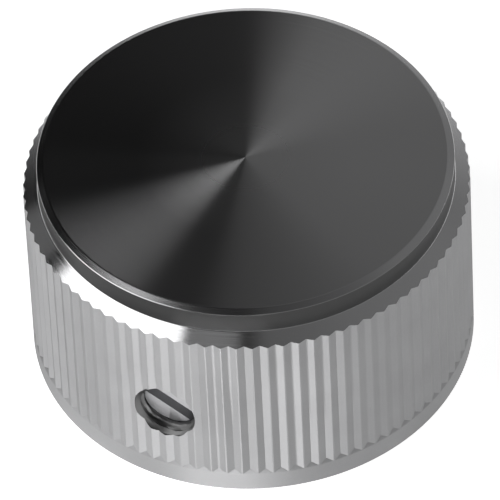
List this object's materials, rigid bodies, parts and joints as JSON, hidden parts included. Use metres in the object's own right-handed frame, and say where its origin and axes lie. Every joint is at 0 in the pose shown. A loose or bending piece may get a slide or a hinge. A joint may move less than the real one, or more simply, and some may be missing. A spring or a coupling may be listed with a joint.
{
  "type": "instrument knob",
  "caption": "Round fluted metal instrument knob with a spun flat face, a stepped rim, a blind shaft bore and a slotted set screw.",
  "frame": {"origin": "centre of the base, on the shaft's axis and on the surface that the knob stands on", "axes": "+Z along the shaft's axis, from the base to the flat face; the set screw points along -Y"},
  "size_m": [0.0286, 0.0286, 0.0159],
  "materials": {
    "turned_aluminium": "satin clear anodised flank, bright turned shelf and rim, face spun in fine rings",
    "screw_steel": "turned steel, slightly dull"
  },
  "bodies": {
    "root": {"knob_body": "turned_aluminium", "set_screw": "screw_steel"}
  },
  "joints": []
}
